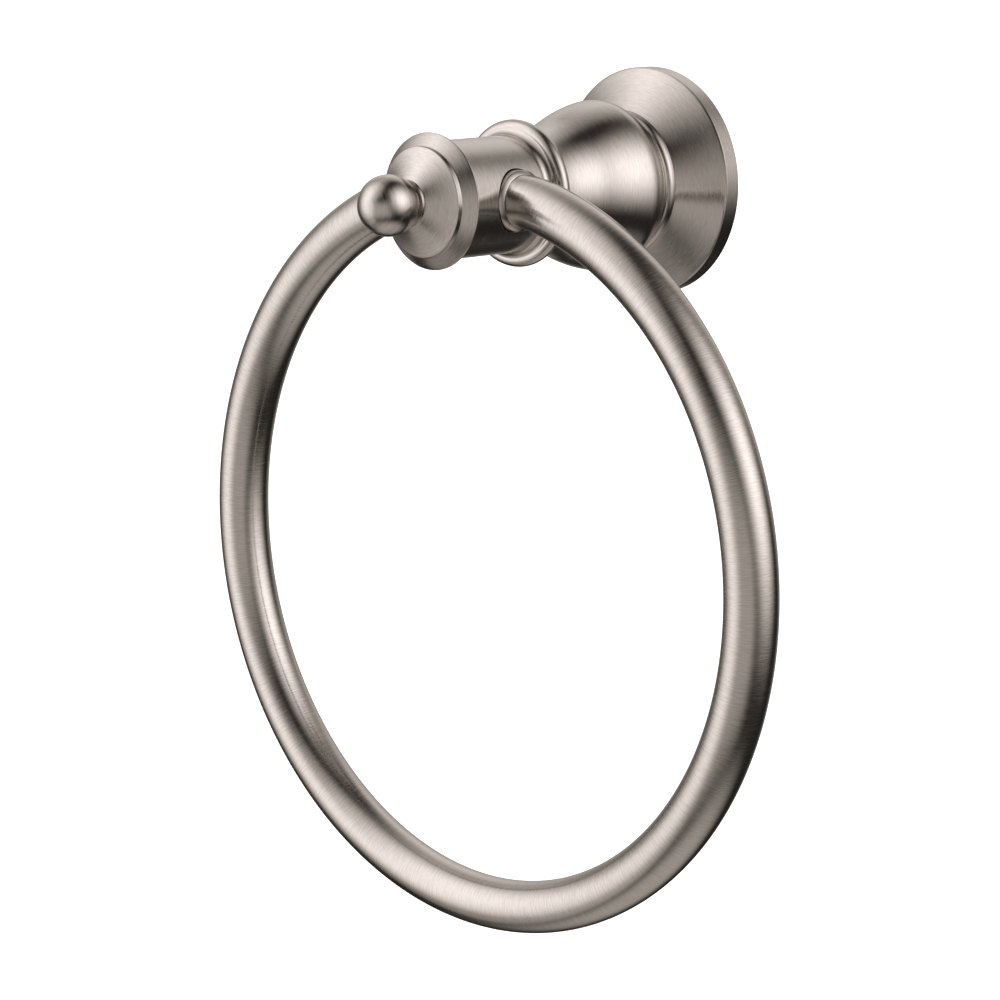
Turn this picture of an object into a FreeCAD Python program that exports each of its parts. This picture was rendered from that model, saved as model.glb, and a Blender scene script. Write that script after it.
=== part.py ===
import FreeCAD, Part
import math
import os
import Sketcher

# A wall mounted towel ring. The wall is the plane y = 0 and the post stands out of it along -Y.
# "Out" in a name is a distance from the wall along the post axis. All lengths are millimetres.

os.makedirs("parts", exist_ok=True)
doc = FreeCAD.newDocument("towel_ring")
V = FreeCAD.Vector

DIMENSIONS = [
    # The hidden wall plate and the grub screw that holds the rose on it.
    ("rose_radius", "26.5", "radius of the rose"),
    ("rose_rim", "4.2", "height of the plain rim of the rose"),
    ("rose_wall", "2.5", "wall thickness of the rim"),
    ("rose_inner_radius", "=rose_radius - rose_wall", "radius of the hollow back"),
    ("plate_room", "0.8", "radial room round the wall plate"),
    ("plate_radius", "=rose_inner_radius - plate_room", "radius of the wall plate"),
    ("plate_lip", "0.1", "thickness of the wall plate in front of its groove"),
    ("groove_depth", "0.6", "depth of the groove that the grub screw bites in"),
    ("groove_half", "0.8", "half width of that groove"),
    ("groove_radius", "=plate_radius - groove_depth", "radius at the bottom of the groove"),
    ("grub_out", "=rose_rim / 2", "wall to the axis of the grub screw"),
    ("groove_back", "=grub_out - groove_half", "wall to the back of the groove"),
    ("groove_front", "=grub_out + groove_half", "wall to the front of the groove"),
    ("plate_thickness", "=groove_front + plate_lip", "thickness of the wall plate"),
    ("slot_margin", "4.2", "edge of the wall plate to the far end of a slot"),
    ("slot_radius", "2.25", "half width of a slot"),
    ("slot_length", "8", "end to end length of a slot"),
    ("slot_web", "3", "near end of a slot to the middle hole"),
    ("slot_reach", "=slot_length / 2 - slot_radius", "slot centre to the centre of its round end"),
    ("slot_centre", "=plate_radius - slot_margin - slot_length / 2", "middle to a slot centre"),
    ("slot_far", "=slot_centre + slot_reach", "middle to the outer round end"),
    ("slot_near", "=slot_centre - slot_reach", "middle to the inner round end"),
    ("plate_hole_radius", "=slot_centre - slot_length / 2 - slot_web", "middle hole of the plate"),
    ("grub_radius", "1.45", "radius of the grub screw"),
    ("grub_hole_radius", "=grub_radius + 0.05", "tapped hole for the grub screw"),
    ("grub_tip_gap", "0.2", "bottom of the groove to the tip of the grub screw"),
    ("grub_tip", "=groove_radius + grub_tip_gap", "post axis to the tip of the grub screw"),
    ("grub_sink", "0.3", "face of the rim to the outer end of the grub screw"),
    ("grub_head", "=rose_radius - grub_sink", "post axis to the outer end of the grub screw"),
    ("grub_point", "0.2", "radius of the point of the grub screw"),
    ("grub_shoulder", "=grub_tip + grub_radius - grub_point", "post axis to the foot of the point"),
    ("grub_socket", "1.5", "size across flats of its socket"),
    ("grub_socket_depth", "1.3", "depth of its socket"),
    # Radii of the arm, then of the bell and of the nose of the rose, each from the one before.
    ("arm_radius", "13.25", "radius of the barrel"),
    ("bell_lip", "0.25", "step from the barrel up to the front of the bell"),
    ("bell_front_radius", "=arm_radius + bell_lip", "radius of the bell at its front"),
    ("bell_opening", "2.8", "growth of the bell over its hollow flare"),
    ("bell_waist_radius", "=bell_front_radius + bell_opening", "radius at the end of the flare"),
    ("bell_swelling", "3.3", "growth of the bell from there to its shoulder"),
    ("bell_shoulder_radius", "=bell_waist_radius + bell_swelling", "radius at the shoulder"),
    ("bell_fall", "3.4", "fall of the round shoulder"),
    ("bell_heel_radius", "=bell_shoulder_radius - bell_fall", "radius at the end of the shoulder"),
    ("bell_foot", "0.5", "fall of the short foot behind the shoulder"),
    ("bell_back_radius", "=bell_heel_radius - bell_foot", "radius of the back face of the bell"),
    ("bell_wall", "3", "wall thickness of the bell"),
    ("rose_front_radius", "=bell_back_radius + 0.2", "radius of the front face of the rose"),
    ("rose_bead_step", "0.6", "growth of the rose over its bead"),
    ("rose_nose_radius", "=rose_front_radius + rose_bead_step", "radius where rose and bead meet"),
    ("rose_inner_nose_radius", "=rose_nose_radius - bell_wall", "flat bottom of the hollow"),
    # The rose, outwards from the wall.
    ("rose_edge", "0.3", "small chamfer round the front of the rim"),
    ("rose_rim_side", "=rose_rim - rose_edge", "wall to the foot of that chamfer"),
    ("rose_rim_top", "=rose_radius - rose_edge", "radius at the top of that chamfer"),
    ("rose_hollow", "70", "radius of the slight hollow of the rose face"),
    ("rose_face", "6.35", "depth of the rose face"),
    ("rose_nose_out", "=rose_rim + rose_face", "wall to where the rose meets its bead"),
    ("rose_bead_length", "2.85", "length of the bead of the rose"),
    ("rose_bead_rise", "0.94", "height of that bead over its chord"),
    ("rose_bead_chord", "=sqrt(rose_bead_length ^ 2 + rose_bead_step ^ 2)", "chord of the bead"),
    (
        "rose_bead_radius",
        "=(rose_bead_chord ^ 2 / 4 + rose_bead_rise ^ 2) / 2 / rose_bead_rise",
        "section radius of the bead",
    ),
    ("rose_front_out", "=rose_nose_out + rose_bead_length", "wall to the front face of the rose"),
    ("rose_floor", "3.2", "thickness of the front of the rose"),
    ("rose_inner_out", "=rose_front_out - rose_floor", "wall to the bottom of the hollow"),
    ("rose_skin", "0.8", "step from the straight part of the hollow to the rim front"),
    ("rose_inner_rim", "=rose_rim - rose_skin", "depth of the straight part of the hollow"),
    # The bell between the rose and the arm: a round shoulder, a swelling and a hollow flare.
    ("bell_foot_length", "0.9", "length of the short foot"),
    ("bell_shoulder_length", "7.2", "length of the round shoulder"),
    ("bell_swelling_length", "10.2", "length of the swelling"),
    ("bell_flare_length", "12.5", "length of the hollow flare"),
    ("bell_flare", "28.4", "radius of the hollow flare"),
    ("bell_heel_out", "=rose_front_out + bell_foot_length", "wall to the end of the shoulder"),
    ("bell_shoulder_out", "=bell_heel_out + bell_shoulder_length", "wall to the shoulder"),
    ("bell_waist_out", "=bell_shoulder_out + bell_swelling_length", "wall to the end of the flare"),
    ("arm_back_out", "=bell_waist_out + bell_flare_length", "wall to the back face of the arm"),
    ("bell_mouth_radius", "=bell_back_radius - bell_wall", "radius of the open back"),
    ("cavity_wide_radius", "=bell_shoulder_radius - bell_wall", "widest radius of the cavity"),
    ("cavity_wide_out", "=bell_shoulder_out - 1", "wall to the widest part of the cavity"),
    ("cavity_neck_radius", "=bell_waist_radius - bell_wall", "radius of the cavity at the waist"),
    ("cavity_end_radius", "=bell_front_radius - bell_wall", "radius of the cavity at its front"),
    ("bell_floor", "4", "thickness of the front of the bell"),
    ("cavity_end_out", "=arm_back_out - bell_floor", "wall to the front of the cavity"),
    # The arm, a barrel with a cove and a half round bead at its wall end.
    ("bead_radius", "1.75", "section radius of the bead"),
    ("bead_out", "=arm_back_out + bead_radius", "wall to the centre of the bead"),
    ("bead_rise", "1.7", "barrel to the centre line of the bead"),
    ("bead_centre_radius", "=arm_radius + bead_rise", "radius of the centre line of the bead"),
    ("cove_rise", "1.47", "growth of the barrel over the cove"),
    ("cove_length", "1.815", "length of the cove"),
    ("crease_radius", "=arm_radius + cove_rise", "radius of the crease between cove and bead"),
    (
        "crease_out",
        "=bead_out + sqrt(bead_radius ^ 2 - (bead_rise - cove_rise) ^ 2)",
        "wall to that crease",
    ),
    ("cove_out", "=crease_out + cove_length", "wall to where the cove leaves the barrel"),
    ("ring_seat", "13", "back face of the arm to the pivot axis"),
    ("ring_out", "=arm_back_out + ring_seat", "wall to the plane of the ring"),
    ("arm_reach", "14.95", "pivot axis to the front end of the barrel"),
    ("arm_front_out", "=ring_out + arm_reach", "wall to the front end of the barrel"),
    # The hanging ring and its pivot.
    ("ring_radius", "82.5", "centreline radius of the hanging ring"),
    ("bend_radius", "30", "bend from the round of the ring into its straight ends"),
    ("tube_radius", "6.0", "outside radius of the ring tube"),
    ("tube_wall", "1.2", "wall thickness of the ring tube"),
    ("tube_bore_radius", "=tube_radius - tube_wall", "inside radius of the ring tube"),
    ("web_half", "5.0", "half thickness of the solid web between the two pockets of the arm"),
    ("end_gap", "0.5", "side play between the web and the end of the ring"),
    ("plug_face", "=web_half + end_gap", "middle of the post to the face of an end plug"),
    ("plug_flange", "0.8", "thickness of the plug flange"),
    ("tube_end", "=plug_face + plug_flange", "middle of the post to the cut end of the tube"),
    ("plug_flange_radius", "=tube_radius - 0.2", "radius of the plug flange"),
    ("plug_fit", "0.02", "radial clearance of the plug in the tube"),
    ("plug_radius", "=tube_bore_radius - plug_fit", "radius of the plug shank"),
    ("pin_radius", "2.5", "radius of the pivot pin"),
    ("pin_reach", "4.9", "length of the pivot pin inside a plug"),
    ("pin_half", "=plug_face + pin_reach", "half length of the pivot pin"),
    ("pin_chamfer", "0.4", "chamfer on the ends of the pivot pin"),
    ("pin_running", "0.05", "radial running clearance of a plug on the pin"),
    ("plug_bore_radius", "=pin_radius + pin_running", "radius of the bore in a plug"),
    ("pin_end_gap", "0.5", "end of the pin to the bottom of the plug bore"),
    ("plug_bore_end", "=pin_half + pin_end_gap", "middle of the post to the bottom of that bore"),
    ("plug_floor", "1.1", "thickness of the closed end of a plug"),
    ("plug_back", "=plug_bore_end + plug_floor", "middle of the post to the inner end of a plug"),
    ("straight_room", "0.25", "inner end of a plug to the start of the bend"),
    ("straight_end", "=plug_back + straight_room", "middle of the post to the start of the bend"),
    (
        "ring_drop",
        "=bend_radius + sqrt((ring_radius - bend_radius) ^ 2 - straight_end ^ 2)",
        "pivot axis down to the ring centre",
    ),
    ("pin_seat", "0.02", "radial clearance of the pin in the web of the arm"),
    ("pin_hole_radius", "=pin_radius + pin_seat", "radius of the pin hole through the web"),
    ("ring_clearance", "1.1", "radial gap round the ring where it enters the arm"),
    ("pocket_radius", "=tube_radius + ring_clearance", "radius of the side pockets of the arm"),
    # The stepped front cap.
    ("cap_overhang", "2", "step from the barrel up to the thin rim of the cap"),
    ("cap_rim", "0.45", "thickness of that rim"),
    ("cap_ledge", "3", "width of the sloping ledge between rim and step"),
    ("cap_slope", "1.9", "height of that ledge"),
    ("cap_step", "1.1", "height of the step"),
    ("cap_cone", "3.65", "height of the hollow cone above the step"),
    ("cap_radius", "=arm_radius + cap_overhang", "radius of the thin rim of the cap"),
    ("cap_rim_out", "=arm_front_out + cap_rim", "wall to the front edge of that rim"),
    ("step_radius", "=cap_radius - cap_ledge", "radius of the raised middle of the cap"),
    ("step_foot_out", "=cap_rim_out + cap_slope", "wall to the foot of the step"),
    ("step_top_out", "=step_foot_out + cap_step", "wall to the top of the step"),
    ("nose_radius", "5.1", "radius of the flat nose of the cap"),
    ("nose_out", "=step_top_out + cap_cone", "wall to the nose of the cap"),
    ("cone_hollow", "45", "radius of the slight hollow of the cap face"),
    # The ball finial and its threaded stud.
    ("neck_overhang", "0.23", "step from the nose of the cap up to the small disc"),
    ("neck_thickness", "0.55", "thickness of the small disc behind the ball"),
    ("neck_radius", "=nose_radius + neck_overhang", "radius of that disc"),
    ("neck_front_out", "=nose_out + neck_thickness", "wall to the front of that disc"),
    ("ball_radius", "6.85", "radius of the ball"),
    ("ball_foot_radius", "4.28", "radius of the circle where the ball meets the disc"),
    (
        "ball_out",
        "=neck_front_out + sqrt(ball_radius ^ 2 - ball_foot_radius ^ 2)",
        "wall to the centre of the ball",
    ),
    ("ball_tip_out", "=ball_out + ball_radius", "wall to the front of the ball"),
    ("stud_radius", "2.4", "radius of the threaded stud of the finial"),
    ("thread_clearance", "0.1", "radial room of a stud in its tapped hole"),
    ("stud_hole_radius", "=stud_radius + thread_clearance", "tapped hole for the finial stud"),
    ("stud_web", "4.48", "pin hole to the bottom of the finial hole"),
    ("stud_hole_out", "=ring_out + pin_hole_radius + stud_web", "wall to the bottom of that hole"),
    ("stud_end_gap", "1", "bottom of the hole to the end of the stud"),
    ("stud_end_out", "=stud_hole_out + stud_end_gap", "wall to the end of the finial stud"),
    ("cap_hole_radius", "=stud_radius + 0.2", "clearance hole of the cap"),
    # The tie rod with its washer and nut.
    ("rod_radius", "2.9", "radius of the threaded tie rod"),
    ("rod_hole_radius", "=rod_radius + thread_clearance", "tapped hole for the tie rod"),
    ("rod_way_radius", "=rod_radius + 0.4", "clearance hole for the tie rod"),
    ("rod_web", "1.88", "pin hole to the bottom of the tie rod hole"),
    ("rod_hole_out", "=ring_out - pin_hole_radius - rod_web", "wall to the bottom of that hole"),
    ("rod_end_gap", "0.8", "bottom of that hole to the end of the tie rod"),
    ("rod_front_out", "=rod_hole_out - rod_end_gap", "wall to the front end of the tie rod"),
    ("washer_thickness", "1.2", "thickness of the washer"),
    ("washer_hole_radius", "=rod_radius + 0.3", "hole radius of the washer"),
    ("nut_across", "10", "size across flats of the nut"),
    ("nut_thickness", "5", "thickness of the nut"),
    ("washer_radius", "=nut_across / 2 + 1", "radius of the washer"),
    ("washer_back_out", "=rose_inner_out - washer_thickness", "wall to the back of the washer"),
    ("nut_back_out", "=washer_back_out - nut_thickness", "wall to the back of the nut"),
    ("rod_show", "0.4", "length of the tie rod behind the nut"),
    ("rod_back_out", "=nut_back_out - rod_show", "wall to the back end of the tie rod"),
    ("rod_chamfer", "0.5", "chamfer on the ends of the tie rod"),
    ("rod_tip_radius", "=rod_radius - rod_chamfer", "radius of the chamfered ends"),
    ("rod_back_side", "=rod_back_out + rod_chamfer", "wall to the foot of the back chamfer"),
    ("rod_front_side", "=rod_front_out - rod_chamfer", "wall to the foot of the front chamfer"),
]

sheet = doc.addObject("Spreadsheet::Sheet", "Dims")
for row, (alias, content, meaning) in enumerate(DIMENSIONS, start=1):
    sheet.set("A%d" % row, meaning)
    sheet.set("B%d" % row, content)
    sheet.setAlias("B%d" % row, alias)
doc.recompute()


def size(alias):
    """Value of a named dimension."""
    return float(sheet.get(alias))


def new_body(name):
    """An empty body whose label is the name of the finished piece."""
    body = doc.addObject("PartDesign::Body", name)
    body.Label = name
    return body


def new_sketch(body, name, role, offset=None):
    """A sketch on one of the body's own planes, moved along its normal by an expression."""
    sketch = body.newObject("Sketcher::SketchObject", name)
    plane = [item for item in body.Origin.OriginFeatures if item.Role == role][0]
    sketch.AttachmentSupport = [(plane, "")]
    sketch.MapMode = "FlatFace"
    if offset:
        sketch.setExpression("AttachmentOffset.Base.z", offset)
    return sketch


def drive(sketch, constraint, alias):
    """Add a dimension to a sketch and tie it to a named value."""
    index = sketch.addConstraint(constraint)
    sketch.setExpression("Constraints[%d]" % index, "Dims." + alias)
    return index


def pin_down(sketch, geo, end, across, along, across_sign=1, along_sign=-1):
    """Fix a sketch point by named distances from the origin. 0 is on that axis, a number is free."""
    if across == 0:
        sketch.addConstraint(Sketcher.Constraint("PointOnObject", geo, end, -2))
    elif isinstance(across, str) and across_sign > 0:
        drive(sketch, Sketcher.Constraint("DistanceX", -1, 1, geo, end, size(across)), across)
    elif isinstance(across, str):
        drive(sketch, Sketcher.Constraint("DistanceX", geo, end, -1, 1, size(across)), across)
    if along == 0:
        sketch.addConstraint(Sketcher.Constraint("PointOnObject", geo, end, -1))
    elif isinstance(along, str) and along_sign > 0:
        drive(sketch, Sketcher.Constraint("DistanceY", -1, 1, geo, end, size(along)), along)
    elif isinstance(along, str):
        drive(sketch, Sketcher.Constraint("DistanceY", geo, end, -1, 1, size(along)), along)


def arc_centre(first, last, radius, left):
    """Centre of the short arc between two points, on the left or the right of the way along it."""
    chord = last - first
    half = chord.Length / 2
    normal = V(-chord.y, chord.x, 0)
    normal.normalize()
    rise = math.sqrt(max(radius * radius - half * half, 0))
    return (first + last) * 0.5 + normal * (rise if left else -rise)


def tangent_arc(first, last, heading):
    """Centre, radius and side of the arc between two points that starts in a given heading."""
    chord = last - first
    normal = V(-heading.y, heading.x, 0)
    normal.normalize()
    signed = chord.Length ** 2 / (2 * chord.dot(normal))
    return first + normal * signed, abs(signed), signed > 0


def add_arc(sketch, centre, radius, first, last, left):
    """Draw an arc and return it with the numbers of its first and last end."""
    start = math.atan2(first.y - centre.y, first.x - centre.x)
    end = math.atan2(last.y - centre.y, last.x - centre.x)
    circle = Part.Circle(centre, V(0, 0, 1), radius)
    if left:
        return sketch.addGeometry(Part.ArcOfCircle(circle, start, end), False), 1, 2
    return sketch.addGeometry(Part.ArcOfCircle(circle, end, start), False), 2, 1


def turned_profile(sketch, corners, edges=None):
    """Closed half section of a turned piece.

    Each corner is (radius, out). A name pins it, 0 puts it on that axis and a number leaves it
    to the neighbouring curve. Edges maps the number of an edge to one of these curves:
    ("radius", name, left) of a named radius, ("tangent",) in line with the edge before it, or
    ("round", centre radius, centre out, name, left) about a named centre.
    """
    edges = edges or {}
    points = []
    for across, out in corners:
        x = size(across) if isinstance(across, str) else across
        y = size(out) if isinstance(out, str) else out
        points.append(V(x, -y, 0))
    ends = []
    count = len(points)
    heading = None
    for number in range(count):
        first = points[number]
        last = points[(number + 1) % count]
        shape = edges.get(number)
        if shape is None:
            ends.append((sketch.addGeometry(Part.LineSegment(first, last), False), 1, 2))
            heading = last - first
            continue
        if shape[0] == "round":
            centre = V(size(shape[1]) if shape[1] else 0, -size(shape[2]), 0)
            radius, left = size(shape[3]), shape[4]
        elif shape[0] == "radius":
            radius, left = size(shape[1]), shape[2]
            centre = arc_centre(first, last, radius, left)
        else:
            centre, radius, left = tangent_arc(first, last, heading)
        ends.append(add_arc(sketch, centre, radius, first, last, left))
        spoke = last - centre
        heading = V(-spoke.y, spoke.x, 0) if left else V(spoke.y, -spoke.x, 0)
    for number in range(count):
        geo, begin, finish = ends[number]
        after, after_begin, after_finish = ends[(number + 1) % count]
        shape = edges.get((number + 1) % count)
        kind = "Tangent" if shape and shape[0] == "tangent" else "Coincident"
        sketch.addConstraint(Sketcher.Constraint(kind, geo, finish, after, after_begin))
    for number, (across, out) in enumerate(corners):
        geo, begin, finish = ends[number]
        pin_down(sketch, geo, begin, across, out)
    for number, shape in edges.items():
        geo = ends[number][0]
        if shape[0] == "radius":
            drive(sketch, Sketcher.Constraint("Radius", geo, size(shape[1])), shape[1])
        elif shape[0] == "round":
            pin_down(sketch, geo, 3, shape[1], shape[2])
            drive(sketch, Sketcher.Constraint("Radius", geo, size(shape[3])), shape[3])


def turn(body, name, sketch, axis="V_Axis"):
    """Revolve a half section right round an axis of its sketch."""
    feature = body.newObject("PartDesign::Revolution", name)
    feature.Profile = sketch
    feature.ReferenceAxis = (sketch, [axis])
    feature.Angle = 360
    sketch.Visibility = False
    return feature


def circle_at(sketch, radius, across=0, along=0, across_sign=1, along_sign=-1):
    """A circle fixed by named values."""
    x = size(across) * across_sign if across else 0
    y = size(along) * along_sign if along else 0
    geo = sketch.addGeometry(Part.Circle(V(x, y, 0), V(0, 0, 1), size(radius)), False)
    drive(sketch, Sketcher.Constraint("Radius", geo, size(radius)), radius)
    if across == 0 and along == 0:
        sketch.addConstraint(Sketcher.Constraint("Coincident", geo, 3, -1, 1))
    else:
        pin_down(sketch, geo, 3, across, along, across_sign, along_sign)
    return geo


def hexagon(sketch, across):
    """A regular hexagon about the origin with a named size across flats."""
    corner = size(across) / math.sqrt(3)
    points = []
    for number in range(6):
        angle = math.radians(60 * number)
        points.append(V(corner * math.cos(angle), corner * math.sin(angle), 0))
    sides = []
    for number in range(6):
        side = Part.LineSegment(points[number], points[(number + 1) % 6])
        sides.append(sketch.addGeometry(side, False))
    guide = sketch.addGeometry(Part.Circle(V(0, 0, 0), V(0, 0, 1), corner), True)
    sketch.addConstraint(Sketcher.Constraint("Coincident", guide, 3, -1, 1))
    for number in range(6):
        after = sides[(number + 1) % 6]
        sketch.addConstraint(Sketcher.Constraint("Coincident", sides[number], 2, after, 1))
        sketch.addConstraint(Sketcher.Constraint("PointOnObject", sides[number], 1, guide))
        if number:
            sketch.addConstraint(Sketcher.Constraint("Equal", sides[0], sides[number]))
    sketch.addConstraint(Sketcher.Constraint("PointOnObject", sides[0], 1, -1))
    flats = Sketcher.Constraint("DistanceY", sides[4], 1, sides[1], 1, size(across))
    drive(sketch, flats, across)


def cut_through(body, name, sketch, midplane=False, away=False):
    """Cut a sketch right through the body, on one side or on both."""
    feature = body.newObject("PartDesign::Pocket", name)
    feature.Profile = sketch
    feature.Type = "ThroughAll"
    feature.Midplane = midplane
    feature.Reversed = away
    sketch.Visibility = False
    return feature


def mirrored(body, name, feature, role):
    """Repeat a feature on the other side of one of the body's own planes."""
    copy = body.newObject("PartDesign::Mirrored", name)
    plane = [item for item in body.Origin.OriginFeatures if item.Role == role][0]
    copy.Originals = [feature]
    copy.MirrorPlane = (plane, [""])
    body.Tip = copy
    return copy


# The rose: a hollow turned flange with a plain rim, a slightly hollow face and a small bead.
rose = new_body("rose")
rose_section = new_sketch(rose, "rose_section", "XY_Plane")
turned_profile(
    rose_section,
    [
        ("rose_inner_radius", 0),
        ("rose_radius", 0),
        ("rose_radius", "rose_rim_side"),
        ("rose_rim_top", "rose_rim"),
        ("rose_nose_radius", "rose_nose_out"),
        ("rose_front_radius", "rose_front_out"),
        ("rod_way_radius", "rose_front_out"),
        ("rod_way_radius", "rose_inner_out"),
        ("rose_inner_nose_radius", "rose_inner_out"),
        ("rose_inner_radius", "rose_inner_rim"),
    ],
    {
        3: ("radius", "rose_hollow", True),
        4: ("radius", "rose_bead_radius", False),
    },
)
turn(rose, "rose_turned", rose_section)
grub_hole_circle = new_sketch(rose, "grub_hole_circle", "XY_Plane")
circle_at(grub_hole_circle, "grub_hole_radius", 0, "grub_out")
cut_through(rose, "grub_hole", grub_hole_circle)

# The bell: a hollow turned piece with a hollow flare, a swelling and a round shoulder.
bell = new_body("bell")
bell_section = new_sketch(bell, "bell_section", "XY_Plane")
turned_profile(
    bell_section,
    [
        ("rod_way_radius", "arm_back_out"),
        ("bell_front_radius", "arm_back_out"),
        ("bell_waist_radius", "bell_waist_out"),
        ("bell_shoulder_radius", "bell_shoulder_out"),
        ("bell_heel_radius", "bell_heel_out"),
        ("bell_back_radius", "rose_front_out"),
        ("bell_mouth_radius", "rose_front_out"),
        ("cavity_wide_radius", "cavity_wide_out"),
        ("cavity_neck_radius", "bell_waist_out"),
        ("cavity_end_radius", "cavity_end_out"),
        ("rod_way_radius", "cavity_end_out"),
    ],
    {
        1: ("radius", "bell_flare", False),
        2: ("tangent",),
        3: ("tangent",),
    },
)
turn(bell, "bell_turned", bell_section)

# The arm: a barrel with a cove and a bead at its wall end. The ring enters it from both sides.
arm = new_body("arm")
arm_section = new_sketch(arm, "arm_section", "XY_Plane")
turned_profile(
    arm_section,
    [
        ("stud_hole_radius", "arm_front_out"),
        ("arm_radius", "arm_front_out"),
        ("arm_radius", "cove_out"),
        ("crease_radius", size("crease_out")),
        ("bead_centre_radius", size("arm_back_out")),
        ("rod_hole_radius", "arm_back_out"),
        ("rod_hole_radius", "rod_hole_out"),
        (0, "rod_hole_out"),
        (0, "stud_hole_out"),
        ("stud_hole_radius", "stud_hole_out"),
    ],
    {
        2: ("tangent",),
        3: ("round", "bead_centre_radius", "bead_out", "bead_radius", True),
    },
)
turn(arm, "arm_turned", arm_section)
pocket_circle = new_sketch(arm, "pocket_circle", "YZ_Plane", "Dims.web_half")
circle_at(pocket_circle, "pocket_radius", "ring_out", 0, -1)
side_pocket = cut_through(arm, "side_pocket", pocket_circle, away=True)
mirrored(arm, "side_pockets", side_pocket, "YZ_Plane")
pin_hole_circle = new_sketch(arm, "pin_hole_circle", "YZ_Plane")
circle_at(pin_hole_circle, "pin_hole_radius", "ring_out", 0, -1)
cut_through(arm, "pin_hole", pin_hole_circle, midplane=True)

# The stepped front cap, drawn tight against the arm by the finial.
cap = new_body("cap")
cap_section = new_sketch(cap, "cap_section", "XY_Plane")
turned_profile(
    cap_section,
    [
        ("cap_hole_radius", "arm_front_out"),
        ("cap_radius", "arm_front_out"),
        ("cap_radius", "cap_rim_out"),
        ("step_radius", "step_foot_out"),
        ("step_radius", "step_top_out"),
        ("nose_radius", "nose_out"),
        ("cap_hole_radius", "nose_out"),
    ],
    {4: ("radius", "cone_hollow", True)},
)
turn(cap, "cap_turned", cap_section)

# The finial: a ball on a small disc with a threaded stud behind it.
finial = new_body("finial")
finial_section = new_sketch(finial, "finial_section", "XY_Plane")
turned_profile(
    finial_section,
    [
        (0, "stud_end_out"),
        ("stud_radius", "stud_end_out"),
        ("stud_radius", "nose_out"),
        ("neck_radius", "nose_out"),
        ("neck_radius", "neck_front_out"),
        (size("ball_foot_radius"), "neck_front_out"),
        (0, size("ball_tip_out")),
    ],
    {5: ("round", 0, "ball_out", "ball_radius", False)},
)
turn(finial, "finial_turned", finial_section)

# The threaded tie rod that holds arm, bell and rose together.
tie_rod = new_body("tie_rod")
rod_section = new_sketch(tie_rod, "rod_section", "XY_Plane")
turned_profile(
    rod_section,
    [
        (0, "rod_back_out"),
        ("rod_tip_radius", "rod_back_out"),
        ("rod_radius", "rod_back_side"),
        ("rod_radius", "rod_front_side"),
        ("rod_tip_radius", "rod_front_out"),
        (0, "rod_front_out"),
    ],
)
turn(tie_rod, "rod_turned", rod_section)

# The washer and the hexagon nut inside the hollow of the rose.
washer = new_body("washer")
washer_section = new_sketch(washer, "washer_section", "XY_Plane")
turned_profile(
    washer_section,
    [
        ("washer_hole_radius", "washer_back_out"),
        ("washer_radius", "washer_back_out"),
        ("washer_radius", "rose_inner_out"),
        ("washer_hole_radius", "rose_inner_out"),
    ],
)
turn(washer, "washer_turned", washer_section)

nut = new_body("nut")
nut_hexagon = new_sketch(nut, "nut_hexagon", "XZ_Plane", "Dims.nut_back_out")
hexagon(nut_hexagon, "nut_across")
nut_blank = nut.newObject("PartDesign::Pad", "nut_blank")
nut_blank.Profile = nut_hexagon
nut_blank.setExpression("Length", "Dims.nut_thickness")
nut_hexagon.Visibility = False
nut_circle = new_sketch(nut, "nut_circle", "XZ_Plane")
circle_at(nut_circle, "rod_hole_radius")
cut_through(nut, "nut_thread", nut_circle, midplane=True)

# The round wall plate with two level slots and a groove round its edge for the grub screw.
wall_plate = new_body("wall_plate")
plate_section = new_sketch(wall_plate, "plate_section", "XY_Plane")
turned_profile(
    plate_section,
    [
        ("plate_hole_radius", 0),
        ("plate_radius", 0),
        ("plate_radius", "groove_back"),
        ("groove_radius", "grub_out"),
        ("plate_radius", "groove_front"),
        ("plate_radius", "plate_thickness"),
        ("plate_hole_radius", "plate_thickness"),
    ],
)
turn(wall_plate, "plate_turned", plate_section)
slot_outline = new_sketch(wall_plate, "slot_outline", "XZ_Plane")
half_width = size("slot_radius")
far_end = Part.Circle(V(size("slot_far"), 0, 0), V(0, 0, 1), half_width)
near_end = Part.Circle(V(size("slot_near"), 0, 0), V(0, 0, 1), half_width)
quarter = math.pi / 2
outer = slot_outline.addGeometry(Part.ArcOfCircle(far_end, -quarter, quarter), False)
inner = slot_outline.addGeometry(Part.ArcOfCircle(near_end, quarter, 3 * quarter), False)
for height, first, last in ((1, (outer, 2), (inner, 1)), (-1, (inner, 2), (outer, 1))):
    start = V(size("slot_centre") + height * size("slot_reach"), height * half_width, 0)
    finish = V(size("slot_centre") - height * size("slot_reach"), height * half_width, 0)
    side = slot_outline.addGeometry(Part.LineSegment(start, finish), False)
    slot_outline.addConstraint(Sketcher.Constraint("Tangent", first[0], first[1], side, 1))
    slot_outline.addConstraint(Sketcher.Constraint("Tangent", side, 2, last[0], last[1]))
pin_down(slot_outline, outer, 3, "slot_far", 0)
pin_down(slot_outline, inner, 3, "slot_near", 0)
drive(slot_outline, Sketcher.Constraint("Radius", outer, half_width), "slot_radius")
slot = cut_through(wall_plate, "slot", slot_outline, midplane=True)
mirrored(wall_plate, "slots", slot, "YZ_Plane")

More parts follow.
